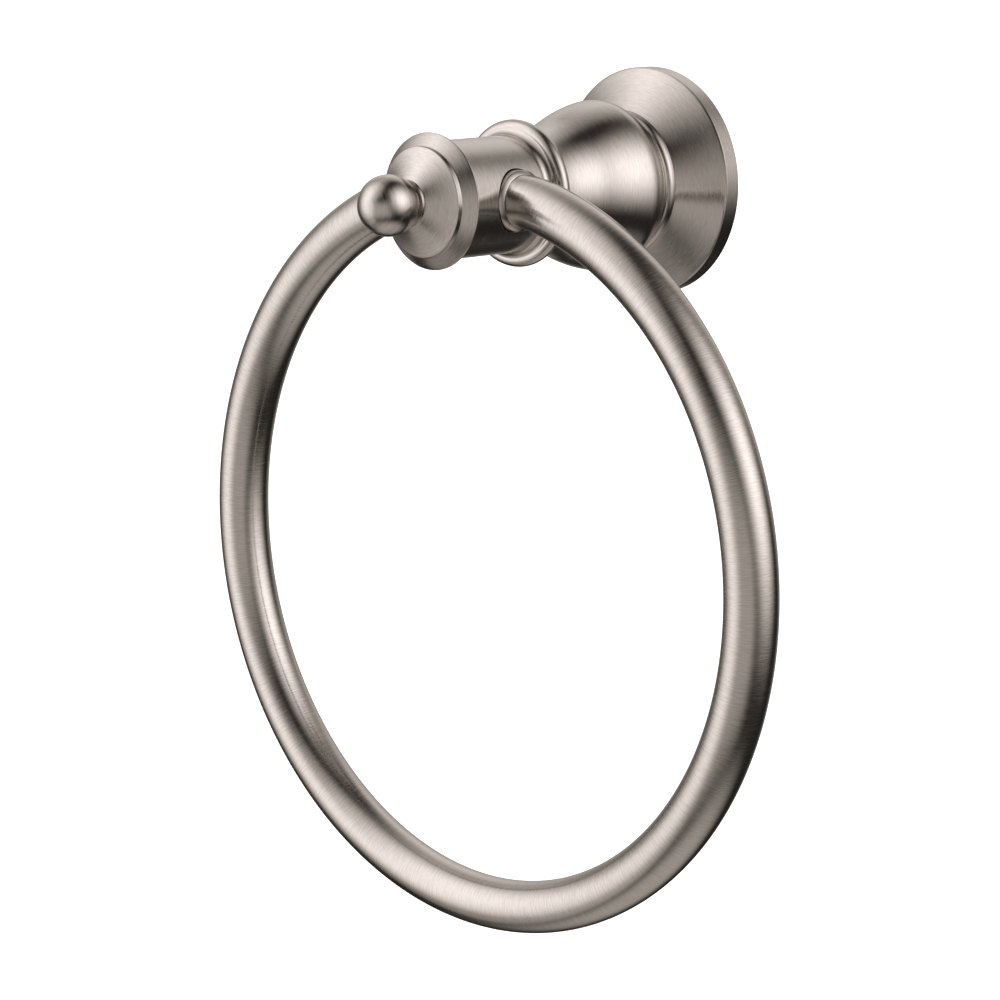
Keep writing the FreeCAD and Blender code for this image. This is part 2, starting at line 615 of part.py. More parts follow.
# The grub screw under the rose. Its body stands at the rim, so its section is drawn about Z.
grub_screw = new_body("grub_screw")
grub_screw.setExpression("Placement.Base.y", "-Dims.grub_out")
grub_section = new_sketch(grub_screw, "grub_section", "XZ_Plane")
turned_profile(
    grub_section,
    [
        (0, "grub_tip"),
        ("grub_point", "grub_tip"),
        ("grub_radius", "grub_shoulder"),
        ("grub_radius", "grub_head"),
        (0, "grub_head"),
    ],
)
turn(grub_screw, "grub_turned", grub_section)
socket_hexagon = new_sketch(grub_screw, "socket_hexagon", "XY_Plane", "-Dims.grub_head")
hexagon(socket_hexagon, "grub_socket")
socket = grub_screw.newObject("PartDesign::Pocket", "socket")
socket.Profile = socket_hexagon
socket.Reversed = True
socket.setExpression("Length", "Dims.grub_socket_depth")
socket_hexagon.Visibility = False

# The pivot pin, a tight slide in the web of the arm. Both ends of the ring turn on it.
pivot_pin = new_body("pivot_pin")
pivot_pin.setExpression("Placement.Base.y", "-Dims.ring_out")
pin_circle = new_sketch(pivot_pin, "pin_circle", "YZ_Plane")
circle_at(pin_circle, "pin_radius")
pin_blank = pivot_pin.newObject("PartDesign::Pad", "pin_blank")
pin_blank.Profile = pin_circle
pin_blank.Midplane = True
pin_blank.setExpression("Length", "2 * Dims.pin_half")
pin_circle.Visibility = False
doc.recompute()
rims = []
for number, edge in enumerate(pin_blank.Shape.Edges, start=1):
    if isinstance(edge.Curve, Part.Circle):
        rims.append("Edge%d" % number)
pin_ends = pivot_pin.newObject("PartDesign::Chamfer", "pin_ends")
pin_ends.Base = (pin_blank, rims)
pin_ends.setExpression("Size", "Dims.pin_chamfer")

# The ring: an open round of tube whose two straight ends enter the arm on the pivot axis.
ring = new_body("ring")
ring.setExpression("Placement.Base.y", "-Dims.ring_out")
path = new_sketch(ring, "ring_path", "XZ_Plane")
big = size("ring_radius")
drop = size("ring_drop")
bend = size("bend_radius")
bend_across = size("straight_end")
lean = math.atan2(bend_across, drop - bend)
right = math.pi / 2 - lean
left = math.pi / 2 + lean
end = size("tube_end")
right_end = path.addGeometry(Part.LineSegment(V(end, 0, 0), V(bend_across, 0, 0)), False)
right_circle = Part.Circle(V(bend_across, -bend, 0), V(0, 0, 1), bend)
right_bend = path.addGeometry(Part.ArcOfCircle(right_circle, right, math.pi / 2), False)
big_circle = Part.Circle(V(0, -drop, 0), V(0, 0, 1), big)
round_arc = path.addGeometry(Part.ArcOfCircle(big_circle, left, right + 2 * math.pi), False)
left_circle = Part.Circle(V(-bend_across, -bend, 0), V(0, 0, 1), bend)
left_bend = path.addGeometry(Part.ArcOfCircle(left_circle, math.pi / 2, left), False)
left_end = path.addGeometry(Part.LineSegment(V(-bend_across, 0, 0), V(-end, 0, 0)), False)
path.addConstraint(Sketcher.Constraint("Tangent", right_end, 2, right_bend, 2))
path.addConstraint(Sketcher.Constraint("Tangent", right_bend, 1, round_arc, 2))
path.addConstraint(Sketcher.Constraint("Tangent", round_arc, 1, left_bend, 2))
path.addConstraint(Sketcher.Constraint("Tangent", left_bend, 1, left_end, 1))
pin_down(path, round_arc, 3, 0, "ring_drop")
drive(path, Sketcher.Constraint("Radius", round_arc, big), "ring_radius")
drive(path, Sketcher.Constraint("Radius", right_bend, bend), "bend_radius")
path.addConstraint(Sketcher.Constraint("Equal", right_bend, left_bend))
pin_down(path, right_end, 1, "tube_end", 0)
path.addConstraint(Sketcher.Constraint("Horizontal", right_end))
pin_down(path, left_end, 2, "tube_end", 0, -1)
path.addConstraint(Sketcher.Constraint("Horizontal", left_end))
tube_circle = new_sketch(ring, "tube_circle", "YZ_Plane", "Dims.tube_end")
circle_at(tube_circle, "tube_radius")
tube = ring.newObject("PartDesign::AdditivePipe", "tube")
tube.Profile = tube_circle
tube.Spine = (path, [])
bore_circle = new_sketch(ring, "bore_circle", "YZ_Plane", "Dims.tube_end")
circle_at(bore_circle, "tube_bore_radius")
tube_bore = ring.newObject("PartDesign::SubtractivePipe", "tube_bore")
tube_bore.Profile = bore_circle
tube_bore.Spine = (path, [])
for item in (path, tube_circle, bore_circle):
    item.Visibility = False

# The two end plugs, flanged bushes pressed into the ends of the tube to run on the pin.
plugs = []
for name, turned_by in (("end_plug_right", 0), ("end_plug_left", 180)):
    plug = new_body(name)
    plug.Placement = FreeCAD.Placement(V(0, 0, 0), FreeCAD.Rotation(V(0, 0, 1), turned_by))
    plug.setExpression("Placement.Base.y", "-Dims.ring_out")
    plug_section = new_sketch(plug, name + "_section", "XY_Plane")
    corners = [
        ("plug_face", "plug_bore_radius"),
        ("plug_face", "plug_flange_radius"),
        ("tube_end", "plug_flange_radius"),
        ("tube_end", "plug_radius"),
        ("plug_back", "plug_radius"),
        ("plug_back", 0),
        ("plug_bore_end", 0),
        ("plug_bore_end", "plug_bore_radius"),
    ]
    turned_profile(plug_section, corners)
    turn(plug, name + "_turned", plug_section, "H_Axis")
    plugs.append(plug)

doc.recompute()

NODES = [
    ring,
    plugs[0],
    plugs[1],
    pivot_pin,
    finial,
    cap,
    arm,
    bell,
    rose,
    tie_rod,
    washer,
    nut,
    wall_plate,
    grub_screw,
]

for item in doc.Objects:
    if "Invalid" in item.State or "Error" in item.State:
        raise RuntimeError("%s did not compute: %s" % (item.Name, item.State))
for node in NODES:
    shape = node.Shape
    if shape.isNull() or not shape.isValid() or len(shape.Solids) != 1:
        raise RuntimeError("%s is not one valid solid" % node.Label)
    shape.exportStep("parts/%s.step" % node.Label)
    print("%-16s %9.1f mm3" % (node.Label, shape.Volume))
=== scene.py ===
import math

import bpy
import numpy as np
from mathutils import Matrix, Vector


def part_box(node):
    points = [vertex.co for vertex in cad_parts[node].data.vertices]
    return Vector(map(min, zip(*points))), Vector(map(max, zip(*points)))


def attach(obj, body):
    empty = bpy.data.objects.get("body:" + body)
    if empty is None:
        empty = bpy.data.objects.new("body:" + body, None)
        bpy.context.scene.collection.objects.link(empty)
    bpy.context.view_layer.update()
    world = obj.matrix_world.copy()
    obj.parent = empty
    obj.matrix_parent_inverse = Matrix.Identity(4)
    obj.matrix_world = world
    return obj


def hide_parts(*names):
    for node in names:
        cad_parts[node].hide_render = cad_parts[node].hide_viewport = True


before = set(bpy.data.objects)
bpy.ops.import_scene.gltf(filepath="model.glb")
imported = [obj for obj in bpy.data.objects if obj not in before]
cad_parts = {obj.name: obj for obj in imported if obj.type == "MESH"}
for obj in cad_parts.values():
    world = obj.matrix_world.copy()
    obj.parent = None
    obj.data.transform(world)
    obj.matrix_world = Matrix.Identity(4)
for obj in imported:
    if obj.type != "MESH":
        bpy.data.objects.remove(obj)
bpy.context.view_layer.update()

# The hidden fixings: a slotted wall plate, a grub screw, a tie rod with washer and nut, and a pivot
# pin, all of zinc plated steel, and two turned brass end plugs. The plate is screwed to the wall
# and the grub screw locks the rose on it; the tie rod pulls arm, bell and rose together.
ZINC = (0.58, 0.58, 0.60, 1.0)
ZINC_ROUGHNESS = 0.34
BRASS = (0.74, 0.55, 0.28, 1.0)
BRASS_ROUGHNESS = 0.28
CLOUDS_PER_METRE = 900.0
CLOUD_DETAIL = 4.0
CLOUD_SMOOTHER = 0.06
CLOUD_ROUGHER = 0.10
CLOUD_SHADE = 0.82


def plated(name, colour, roughness):
    """A plain plated or turned metal: a fine cloudy noise moves its roughness from a little under
    the given one to a little over it, and its colour from a shaded one to the full one."""
    material = bpy.data.materials.new(name)
    material.use_nodes = True
    tree = material.node_tree
    shader = tree.nodes["Principled BSDF"]
    shader.inputs["Metallic"].default_value = 1.0
    place = tree.nodes.new("ShaderNodeTexCoord")
    clouds = tree.nodes.new("ShaderNodeTexNoise")
    clouds.inputs["Scale"].default_value = CLOUDS_PER_METRE
    clouds.inputs["Detail"].default_value = CLOUD_DETAIL
    tree.links.new(place.outputs["Object"], clouds.inputs["Vector"])
    rough = tree.nodes.new("ShaderNodeMapRange")
    rough.inputs["To Min"].default_value = roughness - CLOUD_SMOOTHER
    rough.inputs["To Max"].default_value = roughness + CLOUD_ROUGHER
    tree.links.new(clouds.outputs["Fac"], rough.inputs["Value"])
    tree.links.new(rough.outputs["Result"], shader.inputs["Roughness"])
    tint = tree.nodes.new("ShaderNodeMix")
    tint.data_type = "RGBA"
    tint.inputs["A"].default_value = tuple(CLOUD_SHADE * part for part in colour[:3]) + (1.0,)
    tint.inputs["B"].default_value = colour
    tree.links.new(clouds.outputs["Fac"], tint.inputs["Factor"])
    tree.links.new(tint.outputs["Result"], shader.inputs["Base Color"])
    return material


zinc_plate = plated("zinc_plate", ZINC, ZINC_ROUGHNESS)
turned_brass = plated("turned_brass", BRASS, BRASS_ROUGHNESS)
for node in ("wall_plate", "grub_screw", "tie_rod", "washer", "nut", "pivot_pin"):
    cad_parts[node].data.materials.clear()
    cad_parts[node].data.materials.append(zinc_plate)
for node in ("end_plug_right", "end_plug_left"):
    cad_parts[node].data.materials.clear()
    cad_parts[node].data.materials.append(turned_brass)

# The rose: a hollow flange of brass, turned on a lathe, brushed while it spins and nickel plated.
# Its plain rim stands on the wall, a small chamfer breaks the edge of the rim, its face is slightly
# hollow and a half round bead runs round its nose.
ROSE_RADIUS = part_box("rose")[1].x
ROSE_FRONT = -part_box("rose")[0].y
ROSE_RIM = 0.0042
ROSE_EDGE = 0.00032
ROSE_NOSE = (0.01055, 0.0165)  # out from the wall and radius, as all points of a turned section
ROSE_HOLLOW = 0.070
BEAD_STEP = 0.0006
BEAD_BULGE = 0.0016
ROD_WAY = 0.0033
ROSE_INNER = (0.0034, 0.0240)
ROSE_FLOOR = (0.0102, 0.0135)
AROUND = 224  # points round the post axis
ARC_POINTS = 24

# How wide a section's corners are broken, with how fine steps and how wide a blur in steps, and
# how much turning or length lies between two points that are kept.
BROKEN_EDGE = 0.00005
CRISP_EDGE = 0.00003
STEPS_PER_EDGE = 5
BLUR_SPREAD = 4.5
BLUR_REACH = 14
KEPT_TURN = math.radians(9)
KEPT_LENGTH = 0.0018

# The plating and its brush marks, which are counted per metre across and along the brushing.
NICKEL = (0.61, 0.568, 0.53, 1.0)
NICKEL_ROUGHNESS = 0.17
NICKEL_MARKS = 0.09
SHINE_SPREAD = 0.30
FINE_MARKS = (4800.0, 420.0)
COARSE_MARKS = (1900.0, 150.0)
COARSE_SHARE = 0.12
MARK_DETAIL = 1.0
MARK_ROUGHNESS = 0.65
MARK_LOW = 0.3
MARK_HIGH = 0.7
MARK_SMOOTHER = 0.02
MARK_ROUGHER = 0.05
MARK_HEIGHT = 0.00025
MARK_BUMP = 0.5


def arc(first, last, radius):
    """Points of a section on a circular arc from first up to, but not with, last.

    The centre lies on the chord's middle normal at the root of radius squared less half the chord
    squared. A positive radius swells to the left of the way along, a negative one is hollow.
    """
    first, last = np.array(first), np.array(last)
    chord = last - first
    half = np.hypot(*chord) / 2
    normal = np.array([-chord[1], chord[0]]) / (2 * half)
    rise = math.copysign(math.sqrt(max(radius**2 - half**2, 0.0)), radius)
    centre = (first + last) / 2 - normal * rise
    start = math.atan2(first[1] - centre[1], first[0] - centre[0])
    swept = -math.copysign(2 * math.asin(min(half / abs(radius), 1.0)), radius)
    angle = start + swept * np.arange(ARC_POINTS) / ARC_POINTS
    return centre + abs(radius) * np.stack([np.cos(angle), np.sin(angle)], axis=1)


def soften(line, closed, edge):
    """A section with its corners broken, thinned out where it runs straight.

    The line is walked in equal small steps, each coordinate is averaged with a bell curve about as
    wide as the edge, and points are kept at equal steps of turning plus length. Returns the points,
    the left hand normals and the length walked. On a closed line the last length is that of the
    whole way round, back at the first point.
    """
    line = np.vstack([line, line[:1]]) if closed else line
    walked = np.concatenate([[0], np.cumsum(np.hypot(*np.diff(line, axis=0).T))])
    step = edge / STEPS_PER_EDGE
    even = np.linspace(0, walked[-1], int(walked[-1] / step) + 1)
    fine = np.stack([np.interp(even, walked, line[:, k]) for k in (0, 1)], axis=1)
    blur = np.exp(-0.5 * (np.arange(-BLUR_REACH, BLUR_REACH + 1) / BLUR_SPREAD) ** 2)
    blur /= blur.sum()
    if closed:
        padded = np.vstack([fine[-BLUR_REACH - 1:-1], fine, fine[1:BLUR_REACH + 1]])
    else:
        ends = ((BLUR_REACH, BLUR_REACH), (0, 0))
        padded = np.pad(fine, ends, mode="reflect", reflect_type="odd")
    smooth = np.stack([np.convolve(padded[:, k], blur, mode="valid") for k in (0, 1)], axis=1)
    if not closed:
        smooth[0], smooth[-1] = fine[0], fine[-1]
    slope = np.gradient(smooth, axis=0)
    heading = np.unwrap(np.arctan2(slope[:, 1], slope[:, 0]))
    effort = np.concatenate([[0], np.cumsum(np.abs(np.diff(heading)))]) / KEPT_TURN
    effort += even / KEPT_LENGTH
    steps = np.arange(len(even))
    kept = np.interp(np.linspace(0, effort[-1], int(effort[-1]) + 2), effort, steps)
    points = np.stack([np.interp(kept, steps, smooth[:, k]) for k in (0, 1)], axis=1)
    facing = np.interp(kept, steps, heading)
    normals = np.stack([-np.sin(facing), np.cos(facing)], axis=1)
    length = np.interp(kept, steps, even)
    if closed:
        points, normals = points[:-1], normals[:-1]
    return points, normals, length


def mesh_piece(name, corners, points, normals, grain, uv, material):
    """A mesh from faces given as rows of point numbers, where -1 closes a triangle.

    Normals are those worked out from the surface. The grain of a point is the length walked across
    the brush marks and the place round them, and uv holds one pair for each corner of each face.
    """
    used = corners >= 0
    mesh = bpy.data.meshes.new(name)
    mesh.vertices.add(len(points))
    mesh.vertices.foreach_set("co", points.astype(np.float32).ravel())
    mesh.loops.add(int(used.sum()))
    mesh.loops.foreach_set("vertex_index", corners[used].astype(np.int32))
    mesh.polygons.add(len(corners))
    totals = used.sum(axis=1)
    starts = np.concatenate([[0], np.cumsum(totals)[:-1]])
    mesh.polygons.foreach_set("loop_start", starts.astype(np.int32))
    mesh.polygons.foreach_set("use_smooth", np.ones(len(corners), bool))
    layer = mesh.uv_layers.new(name="around")
    layer.data.foreach_set("uv", uv[used].astype(np.float32).ravel())
    brush = mesh.attributes.new("grain", "FLOAT_VECTOR", "POINT")
    brush.data.foreach_set("vector", grain.astype(np.float32).ravel())
    mesh.update(calc_edges=True)
    mesh.validate()
    mesh.normals_split_custom_set_from_vertices(normals.astype(np.float32).tolist())
    mesh.materials.append(material)
    piece = bpy.data.objects.new(name, mesh)
    bpy.context.scene.collection.objects.link(piece)
    return piece


def turned_grid(points, normals, length):
    """Points of a section (out, radius) carried round the post axis.

    At angle a a point stands at (radius sin a, -out, radius cos a). Returns places, normals and
    grain as grids of section points by angles.
    """
    angle = 2 * math.pi * np.arange(AROUND) / AROUND
    sine, cosine = np.sin(angle)[None], np.cos(angle)[None]
    out, radius = points[:, :1], points[:, 1:]
    out_share, radius_share = normals[:, :1], normals[:, 1:]
    flat = np.ones_like(sine)
    places = np.stack([radius * sine, -out * flat, radius * cosine], axis=2)
    facing = np.stack([radius_share * sine, -out_share * flat, radius_share * cosine], axis=2)
    grain = np.stack([length[:len(points), None] * flat, radius * cosine, radius * sine], axis=2)
    return places, facing, grain


def turned_faces(rows, length, closed):
    """Faces between neighbouring rings of a turned grid, as point numbers and map places.

    The map runs along the section in its first coordinate and round the axis in its second.
    """
    number = np.arange(rows * AROUND).reshape(rows, AROUND)
    column = np.arange(AROUND)
    after = (column + 1) % AROUND
    lower = np.arange(rows if closed else rows - 1)
    upper = (lower + 1) % rows
    quads = np.stack([
        number[lower][:, column], number[upper][:, column],
        number[upper][:, after], number[lower][:, after],
    ], axis=2)
    uv = np.zeros(quads.shape + (2,))
    uv[..., 0, 0] = uv[..., 3, 0] = (length[lower] / length[-1])[:, None]
    uv[..., 1, 0] = uv[..., 2, 0] = (length[lower + 1] / length[-1])[:, None]
    uv[..., 0, 1] = uv[..., 1, 1] = column / AROUND
    uv[..., 2, 1] = uv[..., 3, 1] = (column + 1) / AROUND
    return quads, uv


def poles_closed(quads, uv, parts, first_ring, last_ring):
    """Faces and points with the first and the last ring drawn together into one point each, so
    that the faces there become triangles, and with the points that no face uses left out."""
    merge = np.arange(len(parts[0]))
    merge[first_ring] = first_ring[0]
    merge[last_ring] = last_ring[0]
    quads = merge[quads]
    head = quads[:, 0] == quads[:, 3]
    tail = quads[:, 1] == quads[:, 2]
    quads[tail, 2] = quads[tail, 3]
    uv[tail, 2] = uv[tail, 3]
    quads[head | tail, 3] = -1
    kept, renumbered = np.unique(quads, return_inverse=True)
    return renumbered.reshape(quads.shape) - 1, uv, [part[kept[1:]] for part in parts]


def turned(name, line, closed, material, edge=BROKEN_EDGE):
    """A turned piece: its softened section carried round the post axis, closed on itself, or with a
    single point where the section meets the axis at each end."""
    points, normals, length = soften(np.array(line), closed, edge)
    grids = turned_grid(points, normals, length)
    rows = len(points)
    quads, uv = turned_faces(rows, length, closed)
    quads, uv = quads.reshape(-1, 4), uv.reshape(-1, 4, 2)
    parts = [grid.reshape(-1, 3) for grid in grids]
    if not closed:
        ring_at = np.arange(AROUND)
        quads, uv, parts = poles_closed(quads, uv, parts, ring_at, ring_at + (rows - 1) * AROUND)
    return mesh_piece(name, quads, *parts, uv, material)


def brushed_nickel(name, roughness, depth):
    """Satin nickel with brush marks. The marks are a fine and a coarse noise, squeezed across the
    brushing and drawn out along it. They move the roughness a little, and the colour and the
    height in proportion to their depth, and the shine is spread across them."""
    material = bpy.data.materials.new(name)
    material.use_nodes = True
    tree = material.node_tree
    shader = tree.nodes["Principled BSDF"]
    shader.inputs["Metallic"].default_value = 1.0
    shader.inputs["Anisotropic"].default_value = SHINE_SPREAD
    grain = tree.nodes.new("ShaderNodeAttribute")
    grain.attribute_name = "grain"
    marks = []
    for across, along in (FINE_MARKS, COARSE_MARKS):
        drawn = tree.nodes.new("ShaderNodeVectorMath")
        drawn.operation = "MULTIPLY"
        drawn.inputs[1].default_value = (across, along, along)
        tree.links.new(grain.outputs["Vector"], drawn.inputs[0])
        noise = tree.nodes.new("ShaderNodeTexNoise")
        noise.inputs["Scale"].default_value = 1.0
        noise.inputs["Detail"].default_value = MARK_DETAIL
        noise.inputs["Roughness"].default_value = MARK_ROUGHNESS
        tree.links.new(drawn.outputs["Vector"], noise.inputs["Vector"])
        marks.append(noise.outputs["Fac"])
    both = tree.nodes.new("ShaderNodeMix")
    both.data_type = "FLOAT"
    both.inputs["Factor"].default_value = COARSE_SHARE
    tree.links.new(marks[0], both.inputs["A"])
    tree.links.new(marks[1], both.inputs["B"])
    rough = tree.nodes.new("ShaderNodeMapRange")
    rough.inputs["From Min"].default_value = MARK_LOW
    rough.inputs["From Max"].default_value = MARK_HIGH
    rough.inputs["To Min"].default_value = roughness - MARK_SMOOTHER
    rough.inputs["To Max"].default_value = roughness + MARK_ROUGHER
    tree.links.new(both.outputs["Result"], rough.inputs["Value"])
    tree.links.new(rough.outputs["Result"], shader.inputs["Roughness"])
    shade = tree.nodes.new("ShaderNodeMapRange")
    shade.inputs["From Min"].default_value = MARK_LOW
    shade.inputs["From Max"].default_value = MARK_HIGH
    tree.links.new(both.outputs["Result"], shade.inputs["Value"])
    tint = tree.nodes.new("ShaderNodeMix")
    tint.data_type = "RGBA"
    tint.inputs["A"].default_value = tuple((1 - depth) * part for part in NICKEL[:3]) + (1.0,)
    tint.inputs["B"].default_value = tuple((1 + depth) * part for part in NICKEL[:3]) + (1.0,)
    tree.links.new(shade.outputs["Result"], tint.inputs["Factor"])
    tree.links.new(tint.outputs["Result"], shader.inputs["Base Color"])
    height = tree.nodes.new("ShaderNodeBump")
    height.inputs["Strength"].default_value = MARK_BUMP
    height.inputs["Distance"].default_value = MARK_HEIGHT * depth
    tree.links.new(both.outputs["Result"], height.inputs["Height"])
    tree.links.new(height.outputs["Normal"], shader.inputs["Normal"])
    sideways = tree.nodes.new("ShaderNodeTangent")
    sideways.direction_type = "UV_MAP"
    sideways.uv_map = "around"
    tree.links.new(sideways.outputs["Tangent"], shader.inputs["Tangent"])
    return material


satin_nickel = brushed_nickel("satin_nickel", NICKEL_ROUGHNESS, NICKEL_MARKS)
rim_front = (ROSE_RIM, ROSE_RADIUS - ROSE_EDGE)
bead_front = (ROSE_FRONT, ROSE_NOSE[1] - BEAD_STEP)
rose_section = np.vstack([
    [(0.0, ROSE_INNER[1]), (0.0, ROSE_RADIUS), (ROSE_RIM - ROSE_EDGE, ROSE_RADIUS)],
    arc(rim_front, ROSE_NOSE, -ROSE_HOLLOW),
    arc(ROSE_NOSE, bead_front, BEAD_BULGE),
    [bead_front, (ROSE_FRONT, ROD_WAY), (ROSE_FLOOR[0], ROD_WAY), ROSE_FLOOR, ROSE_INNER],
])
rose = turned("rose_flange", rose_section, True, satin_nickel, CRISP_EDGE)
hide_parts("rose")
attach(rose, "post")

# The bell: a hollow casting turned on the outside, with a round shoulder at the rose, a swelling
# and a hollow flare that runs out in front under the bead of the arm. The tie rod pulls it
# between the rose and the arm.
BELL_BACK = (0.0134, 0.0157)
BELL_HEEL = (0.0143, 0.0162)
BELL_SHOULDER = (0.0215, 0.0196)
BELL_WAIST = (0.0317, 0.0163)
BELL_FRONT = (-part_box("bell")[0].y, 0.0135)
BELL_FLARE = 0.0284
BELL_WALL = 0.0030
BELL_FLOOR = 0.0040
BELL_KNEE = 0.001  # how far the inside turns before the shoulder does


def arc_after(first, last, heading):
    """Signed radius of the arc from first to last that leaves first in a given heading: the chord
    squared over twice the chord's share along the left normal of the heading, turned about."""
    chord = np.array(last) - np.array(first)
    normal = np.array([-heading[1], heading[0]]) / np.hypot(*heading)
    return -(chord @ chord) / (2 * (chord @ normal))


def heading_at_end(first, last, radius):
    """Direction in which an arc of signed radius arrives at last: the chord turned by half of what
    the arc sweeps, whose sine is half the chord over the radius, clockwise if the arc swells."""
    chord = np.array(last) - np.array(first)
    turn = -math.copysign(math.asin(np.hypot(*chord) / 2 / abs(radius)), radius)
    cosine, sine = math.cos(turn), math.sin(turn)
    return np.array([chord[0] * cosine - chord[1] * sine, chord[0] * sine + chord[1] * cosine])


flare_heading = heading_at_end(BELL_FRONT, BELL_WAIST, BELL_FLARE)
swelling = arc_after(BELL_WAIST, BELL_SHOULDER, flare_heading)
swelling_heading = heading_at_end(BELL_WAIST, BELL_SHOULDER, swelling)
shoulder = arc_after(BELL_SHOULDER, BELL_HEEL, swelling_heading)
bell_inside = [
    (BELL_FRONT[0] - BELL_FLOOR, ROD_WAY),
    (BELL_FRONT[0] - BELL_FLOOR, BELL_FRONT[1] - BELL_WALL),
    (BELL_WAIST[0], BELL_WAIST[1] - BELL_WALL),
    (BELL_SHOULDER[0] - BELL_KNEE, BELL_SHOULDER[1] - BELL_WALL),
    (BELL_BACK[0], BELL_BACK[1] - BELL_WALL),
]
bell_section = np.vstack([
    arc(BELL_FRONT, BELL_WAIST, BELL_FLARE),
    arc(BELL_WAIST, BELL_SHOULDER, swelling),
    arc(BELL_SHOULDER, BELL_HEEL, shoulder),
    [BELL_HEEL, BELL_BACK],
    bell_inside[::-1],
    [(BELL_FRONT[0], ROD_WAY)],
])[::-1]
bell = turned("bell_casting", bell_section, True, satin_nickel)
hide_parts("bell")
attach(bell, "post")

# The arm: a turned barrel with a cove and a half round bead at its wall end. It is bored from both
# sides for the ends of the ring, and the pivot pin runs through the web between the two pockets.
# The tie rod screws into its back, the finial into its front.
ARM_RADIUS = 0.01325
ARM_BACK = -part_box("arm")[1].y
ARM_FRONT = -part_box("arm")[0].y
ARM_BEAD = 0.00175
BEAD_CENTRE = (ARM_BACK + ARM_BEAD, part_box("arm")[1].x - ARM_BEAD)
CREASE_RADIUS = 0.01472
COVE_LENGTH = 0.001815
ROD_HOLE = (0.0528, 0.0030)
STUD_HOLE = (0.0642, 0.0025)
PIVOT_OUT = 0.0572
POCKET = 0.0071  # radius
POCKET_EDGE = 0.00012
POCKET_CORNER = 0.0001
WEB = 0.0050  # half of its thickness
WEB_RING = 0.0048  # a ring of points halfway down the web
PIN_HOLE = 0.00252

# Shares of the way from the window's line to the pocket's rim and down the pocket's wall, and
# degrees round the rim, where the sleeve of a pocket has its rings.
SKIN_SHARES = (0.12, 0.25, 0.38, 0.5, 0.62, 0.73, 0.83, 0.91, 0.97, 1.0)
EDGE_TURNS = (22.5, 45.0, 67.5, 90.0)
WALL_SHARES = (0.3, 0.65, 1.0)
WINDOW_ROOM = 0.0006  # least room between the pocket and the window's line
HAIR = 1e-6  # how near to the barrel's radius a point is on the barrel

crease_rise = BEAD_CENTRE[1] - CREASE_RADIUS
crease = (BEAD_CENTRE[0] + math.sqrt(ARM_BEAD**2 - crease_rise**2), CREASE_RADIUS)
cove_end = (crease[0] + COVE_LENGTH, ARM_RADIUS)
cove = arc_after(cove_end, crease, (-1.0, 0.0))
bead_top = (BEAD_CENTRE[0], BEAD_CENTRE[1] + ARM_BEAD)
arm_section = np.vstack([
    [(ROD_HOLE[0], 0.0), ROD_HOLE, (ARM_BACK, ROD_HOLE[1])],
    arc((ARM_BACK, BEAD_CENTRE[1]), bead_top, ARM_BEAD),
    arc(bead_top, crease, ARM_BEAD),
    arc(crease, cove_end, -abs(cove)),
    [cove_end, (ARM_FRONT, ARM_RADIUS), (ARM_FRONT, STUD_HOLE[1]), STUD_HOLE, (STUD_HOLE[0], 0.0)],
])


def pocket_rings(edge_out, edge_angle):
    """Rings of points from a closed line on the barrel down into a side pocket and its pin hole.

    On the barrel each ring lies a share of the way, unrolled, from the line to the rim of the
    hole, which is a circle seen along the pocket. The rim is a quarter round, the wall runs in to
    the web, and the web closes it down to the pin hole. Returns places, normals, grain, and the
    number of rings that lie on the barrel.
    """
    unrolled = ARM_RADIUS * (edge_angle - math.pi / 2)
    way = np.arctan2(unrolled, edge_out - PIVOT_OUT)
    sine, cosine = np.sin(way), np.cos(way)
    zeros, ones = np.zeros_like(way), np.ones_like(way)
    places, facing, grain = [], [], []
    rim = POCKET + POCKET_EDGE
    rim_unrolled = ARM_RADIUS * np.arcsin(rim * sine / ARM_RADIUS)
    rim_out = PIVOT_OUT + rim * cosine
    for share in SKIN_SHARES:
        angle = math.pi / 2 + (unrolled + share * (rim_unrolled - unrolled)) / ARM_RADIUS
        out = edge_out + share * (rim_out - edge_out)
        x, z = ARM_RADIUS * np.sin(angle), ARM_RADIUS * np.cos(angle)
        places.append(np.stack([x, -out, z], axis=1))
        facing.append(np.stack([x, zeros, z], axis=1) / ARM_RADIUS)
        grain.append(np.stack([out, z, x], axis=1))
    inwards = np.stack([zeros, cosine, sine], axis=1)
    for turn in np.radians(EDGE_TURNS):
        radius = POCKET + POCKET_EDGE * (1 - math.sin(turn))
        depth = POCKET_EDGE * (1 - math.cos(turn))
        across = np.sqrt(ARM_RADIUS**2 - (radius * sine)**2)
        outwards = np.stack([across, zeros, -radius * sine], axis=1) / ARM_RADIUS
        places.append(np.stack([across - depth, -PIVOT_OUT - radius * cosine, -radius * sine], axis=1))
        facing.append(math.cos(turn) * outwards + math.sin(turn) * inwards)
        grain.append(np.stack([across - depth, radius * cosine, radius * sine], axis=1))
    foot = places[-1][:, 0]
    floor_at = WEB + POCKET_CORNER
    sideways = np.stack([ones, zeros, zeros], axis=1)
    wall = [(foot + share * (floor_at - foot), POCKET, inwards) for share in WALL_SHARES]
    web_radii = (POCKET - POCKET_CORNER, WEB_RING, PIN_HOLE + POCKET_CORNER)
    web = [(WEB * ones, radius, sideways) for radius in web_radii]
    hole = [((WEB - POCKET_CORNER) * ones, PIN_HOLE, inwards)]
    for x, radius, normal in wall + web + hole:
        places.append(np.stack([x, -PIVOT_OUT - radius * cosine, -radius * sine], axis=1))
        facing.append(normal)
        grain.append(np.stack([x + radius, radius * cosine, radius * sine], axis=1))
    return np.array(places), np.array(facing), np.array(grain), len(SKIN_SHARES)


